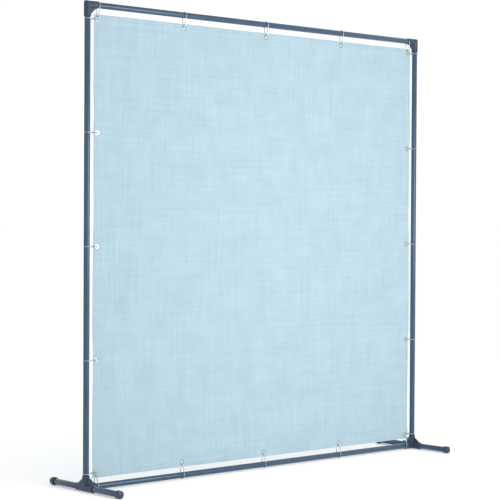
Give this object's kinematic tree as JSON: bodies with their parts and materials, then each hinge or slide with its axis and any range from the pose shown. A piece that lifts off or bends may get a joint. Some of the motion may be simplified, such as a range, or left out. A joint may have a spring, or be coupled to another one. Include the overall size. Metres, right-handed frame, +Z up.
{
  "type": "welding curtain screen",
  "caption": "Free-standing square pipe frame on T feet, with a woven mesh welding curtain hung inside it on wire rings through eyelets.",
  "frame": {"origin": "on the floor, in the middle of the rectangle that the four foot caps stand on", "axes": "+Z up, +X across the screen from the left post to the right post, +Y to the rear, so the front looks along -Y"},
  "size_m": [2, 0.476, 2],
  "materials": {
    "pipe_paint": "satin",
    "joint_plastic": "satin",
    "cap_plastic": "satin",
    "curtain_mesh": "matte",
    "eyelet_metal": "satin",
    "ring_wire": "satin"
  },
  "bodies": {
    "frame": {"left_post": "pipe_paint", "right_post": "pipe_paint", "top_rail": "pipe_paint", "bottom_rail": "pipe_paint", "left_front_foot": "pipe_paint", "left_rear_foot": "pipe_paint", "right_front_foot": "pipe_paint", "right_rear_foot": "pipe_paint", "left_top_elbow": "joint_plastic", "right_top_elbow": "joint_plastic", "left_base_joint": "joint_plastic", "right_base_joint": "joint_plastic", "left_front_cap": "cap_plastic", "left_rear_cap": "cap_plastic", "right_front_cap": "cap_plastic", "right_rear_cap": "cap_plastic"},
    "curtain": {"curtain": "curtain_mesh", "eyelet_top_1": "eyelet_metal", "eyelet_top_2": "eyelet_metal", "eyelet_top_3": "eyelet_metal", "eyelet_top_4": "eyelet_metal", "eyelet_top_5": "eyelet_metal", "eyelet_bottom_1": "eyelet_metal", "eyelet_bottom_2": "eyelet_metal", "eyelet_bottom_3": "eyelet_metal", "eyelet_bottom_4": "eyelet_metal", "eyelet_bottom_5": "eyelet_metal", "eyelet_left_1": "eyelet_metal", "eyelet_left_2": "eyelet_metal", "eyelet_left_3": "eyelet_metal", "eyelet_right_1": "eyelet_metal", "eyelet_right_2": "eyelet_metal", "eyelet_right_3": "eyelet_metal"},
    "ring_top_1": {"ring_top_1": "ring_wire"},
    "ring_top_2": {"ring_top_2": "ring_wire"},
    "ring_top_3": {"ring_top_3": "ring_wire"},
    "ring_top_4": {"ring_top_4": "ring_wire"},
    "ring_top_5": {"ring_top_5": "ring_wire"},
    "ring_bottom_1": {"ring_bottom_1": "ring_wire"},
    "ring_bottom_2": {"ring_bottom_2": "ring_wire"},
    "ring_bottom_3": {"ring_bottom_3": "ring_wire"},
    "ring_bottom_4": {"ring_bottom_4": "ring_wire"},
    "ring_bottom_5": {"ring_bottom_5": "ring_wire"},
    "ring_left_1": {"ring_left_1": "ring_wire"},
    "ring_left_2": {"ring_left_2": "ring_wire"},
    "ring_left_3": {"ring_left_3": "ring_wire"},
    "ring_left_4": {"ring_left_4": "ring_wire"},
    "ring_left_5": {"ring_left_5": "ring_wire"},
    "ring_right_1": {"ring_right_1": "ring_wire"},
    "ring_right_2": {"ring_right_2": "ring_wire"},
    "ring_right_3": {"ring_right_3": "ring_wire"},
    "ring_right_4": {"ring_right_4": "ring_wire"},
    "ring_right_5": {"ring_right_5": "ring_wire"}
  },
  "joints": [
    {"name": "curtain_sway", "type": "slide", "parent": "frame", "child": "curtain", "axis": [0, 1, 0], "range_m": [-0.01, 0.01], "stiffness_N_per_m": 220},
    {"name": "ring_top_1_swing", "type": "hinge", "parent": "frame", "child": "ring_top_1", "pos_m": [-0.9319, 0, 1.984], "axis": [1, 0, 0], "range_deg": [-11, 11]},
    {"name": "ring_top_2_swing", "type": "hinge", "parent": "frame", "child": "ring_top_2", "pos_m": [-0.475, 0, 1.984], "axis": [1, 0, 0], "range_deg": [-11, 11]},
    {"name": "ring_top_3_swing", "type": "hinge", "parent": "frame", "child": "ring_top_3", "pos_m": [0, 0, 1.984], "axis": [1, 0, 0], "range_deg": [-11, 11]},
    {"name": "ring_top_4_swing", "type": "hinge", "parent": "frame", "child": "ring_top_4", "pos_m": [0.475, 0, 1.984], "axis": [1, 0, 0], "range_deg": [-11, 11]},
    {"name": "ring_top_5_swing", "type": "hinge", "parent": "frame", "child": "ring_top_5", "pos_m": [0.9319, 0, 1.984], "axis": [1, 0, 0], "range_deg": [-11, 11]},
    {"name": "ring_bottom_1_swing", "type": "hinge", "parent": "frame", "child": "ring_bottom_1", "pos_m": [-0.9319, 0, 0.0166], "axis": [-1, 0, 0], "range_deg": [-11, 11]},
    {"name": "ring_bottom_2_swing", "type": "hinge", "parent": "frame", "child": "ring_bottom_2", "pos_m": [-0.475, 0, 0.0166], "axis": [-1, 0, 0], "range_deg": [-11, 11]},
    {"name": "ring_bottom_3_swing", "type": "hinge", "parent": "frame", "child": "ring_bottom_3", "pos_m": [0, 0, 0.0166], "axis": [-1, 0, 0], "range_deg": [-11, 11]},
    {"name": "ring_bottom_4_swing", "type": "hinge", "parent": "frame", "child": "ring_bottom_4", "pos_m": [0.475, 0, 0.0166], "axis": [-1, 0, 0], "range_deg": [-11, 11]},
    {"name": "ring_bottom_5_swing", "type": "hinge", "parent": "frame", "child": "ring_bottom_5", "pos_m": [0.9319, 0, 0.0166], "axis": [-1, 0, 0], "range_deg": [-11, 11]},
    {"name": "ring_left_1_swing", "type": "hinge", "parent": "frame", "child": "ring_left_1", "pos_m": [-0.9834, 0, 0.0731], "axis": [0, 0, 1], "range_deg": [-11, 11]},
    {"name": "ring_left_2_swing", "type": "hinge", "parent": "frame", "child": "ring_left_2", "pos_m": [-0.9834, 0, 0.53507], "axis": [0, 0, 1], "range_deg": [-11, 11]},
    {"name": "ring_left_3_swing", "type": "hinge", "parent": "frame", "child": "ring_left_3", "pos_m": [-0.9834, 0, 0.99955], "axis": [0, 0, 1], "range_deg": [-11, 11]},
    {"name": "ring_left_4_swing", "type": "hinge", "parent": "frame", "child": "ring_left_4", "pos_m": [-0.9834, 0, 1.46402], "axis": [0, 0, 1], "range_deg": [-11, 11]},
    {"name": "ring_left_5_swing", "type": "hinge", "parent": "frame", "child": "ring_left_5", "pos_m": [-0.9834, 0, 1.926], "axis": [0, 0, 1], "range_deg": [-11, 11]},
    {"name": "ring_right_1_swing", "type": "hinge", "parent": "frame", "child": "ring_right_1", "pos_m": [0.9834, 0, 0.0731], "axis": [0, 0, -1], "range_deg": [-11, 11]},
    {"name": "ring_right_2_swing", "type": "hinge", "parent": "frame", "child": "ring_right_2", "pos_m": [0.9834, 0, 0.53507], "axis": [0, 0, -1], "range_deg": [-11, 11]},
    {"name": "ring_right_3_swing", "type": "hinge", "parent": "frame", "child": "ring_right_3", "pos_m": [0.9834, 0, 0.99955], "axis": [0, 0, -1], "range_deg": [-11, 11]},
    {"name": "ring_right_4_swing", "type": "hinge", "parent": "frame", "child": "ring_right_4", "pos_m": [0.9834, 0, 1.46402], "axis": [0, 0, -1], "range_deg": [-11, 11]},
    {"name": "ring_right_5_swing", "type": "hinge", "parent": "frame", "child": "ring_right_5", "pos_m": [0.9834, 0, 1.926], "axis": [0, 0, -1], "range_deg": [-11, 11]}
  ],
  "couplings": [
    {"joint": "ring_top_1_swing", "follows": "curtain_sway", "rad_per_m": 19.048},
    {"joint": "ring_top_2_swing", "follows": "curtain_sway", "rad_per_m": 19.048},
    {"joint": "ring_top_3_swing", "follows": "curtain_sway", "rad_per_m": 19.048},
    {"joint": "ring_top_4_swing", "follows": "curtain_sway", "rad_per_m": 19.048},
    {"joint": "ring_top_5_swing", "follows": "curtain_sway", "rad_per_m": 19.048},
    {"joint": "ring_bottom_1_swing", "follows": "curtain_sway", "rad_per_m": 19.048},
    {"joint": "ring_bottom_2_swing", "follows": "curtain_sway", "rad_per_m": 19.048},
    {"joint": "ring_bottom_3_swing", "follows": "curtain_sway", "rad_per_m": 19.048},
    {"joint": "ring_bottom_4_swing", "follows": "curtain_sway", "rad_per_m": 19.048},
    {"joint": "ring_bottom_5_swing", "follows": "curtain_sway", "rad_per_m": 19.048},
    {"joint": "ring_left_1_swing", "follows": "curtain_sway", "rad_per_m": 19.048},
    {"joint": "ring_left_2_swing", "follows": "curtain_sway", "rad_per_m": 19.048},
    {"joint": "ring_left_3_swing", "follows": "curtain_sway", "rad_per_m": 19.048},
    {"joint": "ring_left_4_swing", "follows": "curtain_sway", "rad_per_m": 19.048},
    {"joint": "ring_left_5_swing", "follows": "curtain_sway", "rad_per_m": 19.048},
    {"joint": "ring_right_1_swing", "follows": "curtain_sway", "rad_per_m": 19.048},
    {"joint": "ring_right_2_swing", "follows": "curtain_sway", "rad_per_m": 19.048},
    {"joint": "ring_right_3_swing", "follows": "curtain_sway", "rad_per_m": 19.048},
    {"joint": "ring_right_4_swing", "follows": "curtain_sway", "rad_per_m": 19.048},
    {"joint": "ring_right_5_swing", "follows": "curtain_sway", "rad_per_m": 19.048}
  ]
}
